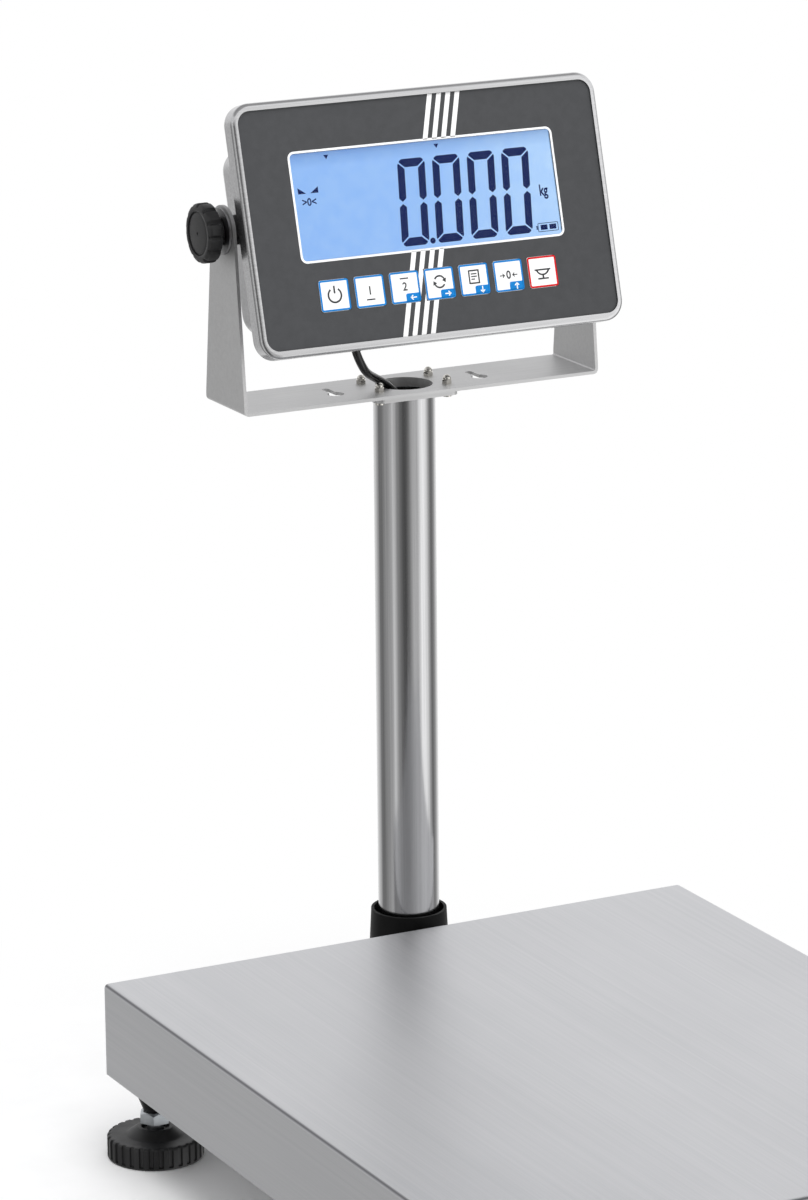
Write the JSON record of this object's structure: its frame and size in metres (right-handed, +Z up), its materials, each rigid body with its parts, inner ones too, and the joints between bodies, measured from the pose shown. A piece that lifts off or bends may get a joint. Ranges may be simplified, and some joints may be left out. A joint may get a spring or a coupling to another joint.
{
  "type": "bench scale",
  "caption": "Bench weighing scale: flat stainless pan on four levelling feet, with a tilting display head in a U bracket on a column behind the pan.",
  "frame": {"origin": "on the floor, at the middle of the whole outline seen from above", "axes": "+X to the operator's right along the short side of the pan, +Y to the back along its long side, towards the column, +Z up"},
  "size_m": [0.4137, 0.5638, 0.629],
  "materials": {
    "brushed_stainless": "brushed",
    "bracket_steel": "satin",
    "column_steel": "polished",
    "black_plastic": "moulded",
    "black_lacquer": "powder coat",
    "grey_lacquer": "powder coat",
    "cell_aluminium": "anodised",
    "zinc_steel": "zinc plated",
    "nickel": "nickel plated",
    "rubber": "matt",
    "cable_jacket": "satin PVC",
    "overlay_film": "printed film",
    "window_film": "clear film",
    "lcd": "clear",
    "backlight_panel": "satin",
    "circuit_board": "solder mask",
    "switch_plastic": "moulded",
    "battery_wrap": "shrink wrap",
    "key_blue": "printed",
    "key_red": "printed"
  },
  "bodies": {
    "base": {"head_bracket": "bracket_steel", "column_flange": "bracket_steel", "column_tube": "column_steel", "column_socket": "black_plastic", "foot_bushes": "black_lacquer", "base_frame": "black_lacquer", "column_bracket": "black_lacquer", "upper_frame": "grey_lacquer", "load_cell": "cell_aluminium", "lower_spacer": "cell_aluminium", "upper_spacer": "cell_aluminium", "lower_cell_screws": "zinc_steel", "upper_cell_screws": "zinc_steel", "overload_stops": "zinc_steel", "bracket_bolts": "zinc_steel", "socket_screws": "zinc_steel", "cap_nuts": "nickel", "flange_screws": "nickel", "pan_buffers": "rubber", "cable_run": "cable_jacket"},
    "pan": {"weighing_pan": "brushed_stainless"},
    "foot_pad_1": {"foot_pad_1": "black_plastic"},
    "foot_stud_1": {"foot_stud_1": "zinc_steel"},
    "foot_pad_2": {"foot_pad_2": "black_plastic"},
    "foot_stud_2": {"foot_stud_2": "zinc_steel"},
    "foot_pad_3": {"foot_pad_3": "black_plastic"},
    "foot_stud_3": {"foot_stud_3": "zinc_steel"},
    "foot_pad_4": {"foot_pad_4": "black_plastic"},
    "foot_stud_4": {"foot_stud_4": "zinc_steel"},
    "key_1": {"key_1": "key_blue"},
    "key_2": {"key_2": "key_blue"},
    "key_3": {"key_3": "key_blue"},
    "key_4": {"key_4": "key_blue"},
    "key_5": {"key_5": "key_blue"},
    "key_6": {"key_6": "key_blue"},
    "key_7": {"key_7": "key_red"},
    "knob_washer": {"knob_washer": "brushed_stainless"},
    "knob_left": {"knob_left": "black_plastic"},
    "head": {"front_shell": "brushed_stainless", "rear_shell": "brushed_stainless", "shell_gasket": "rubber", "shell_screws": "nickel", "keypad_overlay": "overlay_film", "display_window": "window_film", "lcd_glass": "lcd", "backlight": "backlight_panel", "main_board": "circuit_board", "board_standoffs": "nickel", "board_screws": "nickel", "key_switches": "switch_plastic", "battery_pack": "battery_wrap", "battery_bracket": "nickel", "cable_gland": "black_plastic", "gland_nut": "black_plastic", "power_inlet": "black_plastic", "pivot_bushes": "zinc_steel", "spacer_washers": "black_plastic", "pivot_screw": "zinc_steel", "pivot_washer": "brushed_stainless", "cable_loop": "cable_jacket"}
  },
  "joints": [
    {"name": "pan_lift", "type": "slide", "parent": "base", "child": "pan", "axis": [0, 0, 1], "range_m": [0, 0.065]},
    {"name": "head_tilt", "type": "hinge", "parent": "base", "child": "head", "pos_m": [0.0227, 0.25493, 0.5511], "axis": [1, 0, 0], "range_deg": [-30, 15], "deforming": ["cable_loop"]},
    {"name": "foot_1_height", "type": "slide", "parent": "base", "child": "foot_pad_1", "axis": [0, 0, -1], "range_m": [0, 0.0075]},
    {"name": "foot_1_turn", "type": "hinge", "parent": "foot_pad_1", "child": "foot_stud_1", "pos_m": [-0.1775, -0.25257, 0.025], "axis": [0, 0, -1], "range_deg": [0, 1810]},
    {"name": "foot_2_height", "type": "slide", "parent": "base", "child": "foot_pad_2", "axis": [0, 0, -1], "range_m": [0, 0.0075]},
    {"name": "foot_2_turn", "type": "hinge", "parent": "foot_pad_2", "child": "foot_stud_2", "pos_m": [0.1775, -0.25257, 0.025], "axis": [0, 0, -1], "range_deg": [0, 1810]},
    {"name": "foot_3_height", "type": "slide", "parent": "base", "child": "foot_pad_3", "axis": [0, 0, -1], "range_m": [0, 0.0075]},
    {"name": "foot_3_turn", "type": "hinge", "parent": "foot_pad_3", "child": "foot_stud_3", "pos_m": [-0.1775, 0.20242, 0.025], "axis": [0, 0, -1], "range_deg": [0, 1810]},
    {"name": "foot_4_height", "type": "slide", "parent": "base", "child": "foot_pad_4", "axis": [0, 0, -1], "range_m": [0, 0.0075]},
    {"name": "foot_4_turn", "type": "hinge", "parent": "foot_pad_4", "child": "foot_stud_4", "pos_m": [0.1775, 0.20242, 0.025], "axis": [0, 0, -1], "range_deg": [0, 1810]},
    {"name": "key_1_press", "type": "slide", "parent": "head", "child": "key_1", "axis": [0, 0.9619, -0.2735], "range_m": [0, 0.0005], "stiffness_N_per_m": 4000},
    {"name": "key_2_press", "type": "slide", "parent": "head", "child": "key_2", "axis": [0, 0.9619, -0.2735], "range_m": [0, 0.0005], "stiffness_N_per_m": 4000},
    {"name": "key_3_press", "type": "slide", "parent": "head", "child": "key_3", "axis": [0, 0.9619, -0.2735], "range_m": [0, 0.0005], "stiffness_N_per_m": 4000},
    {"name": "key_4_press", "type": "slide", "parent": "head", "child": "key_4", "axis": [0, 0.9619, -0.2735], "range_m": [0, 0.0005], "stiffness_N_per_m": 4000},
    {"name": "key_5_press", "type": "slide", "parent": "head", "child": "key_5", "axis": [0, 0.9619, -0.2735], "range_m": [0, 0.0005], "stiffness_N_per_m": 4000},
    {"name": "key_6_press", "type": "slide", "parent": "head", "child": "key_6", "axis": [0, 0.9619, -0.2735], "range_m": [0, 0.0005], "stiffness_N_per_m": 4000},
    {"name": "key_7_press", "type": "slide", "parent": "head", "child": "key_7", "axis": [0, 0.9619, -0.2735], "range_m": [0, 0.0005], "stiffness_N_per_m": 4000},
    {"name": "knob_out", "type": "slide", "parent": "head", "child": "knob_washer", "axis": [-1, 0, 0], "range_m": [0, 0.00375]},
    {"name": "knob_turn", "type": "hinge", "parent": "knob_washer", "child": "knob_left", "pos_m": [-0.1073, 0.25493, 0.5511], "axis": [-1, 0, 0], "range_deg": [0, 1090]}
  ],
  "couplings": [
    {"joint": "foot_1_turn", "follows": "foot_1_height", "rad_per_m": 4188.8},
    {"joint": "foot_2_turn", "follows": "foot_2_height", "rad_per_m": 4188.8},
    {"joint": "foot_3_turn", "follows": "foot_3_height", "rad_per_m": 4188.8},
    {"joint": "foot_4_turn", "follows": "foot_4_height", "rad_per_m": 4188.8},
    {"joint": "knob_turn", "follows": "knob_out", "rad_per_m": 5026.5}
  ]
}
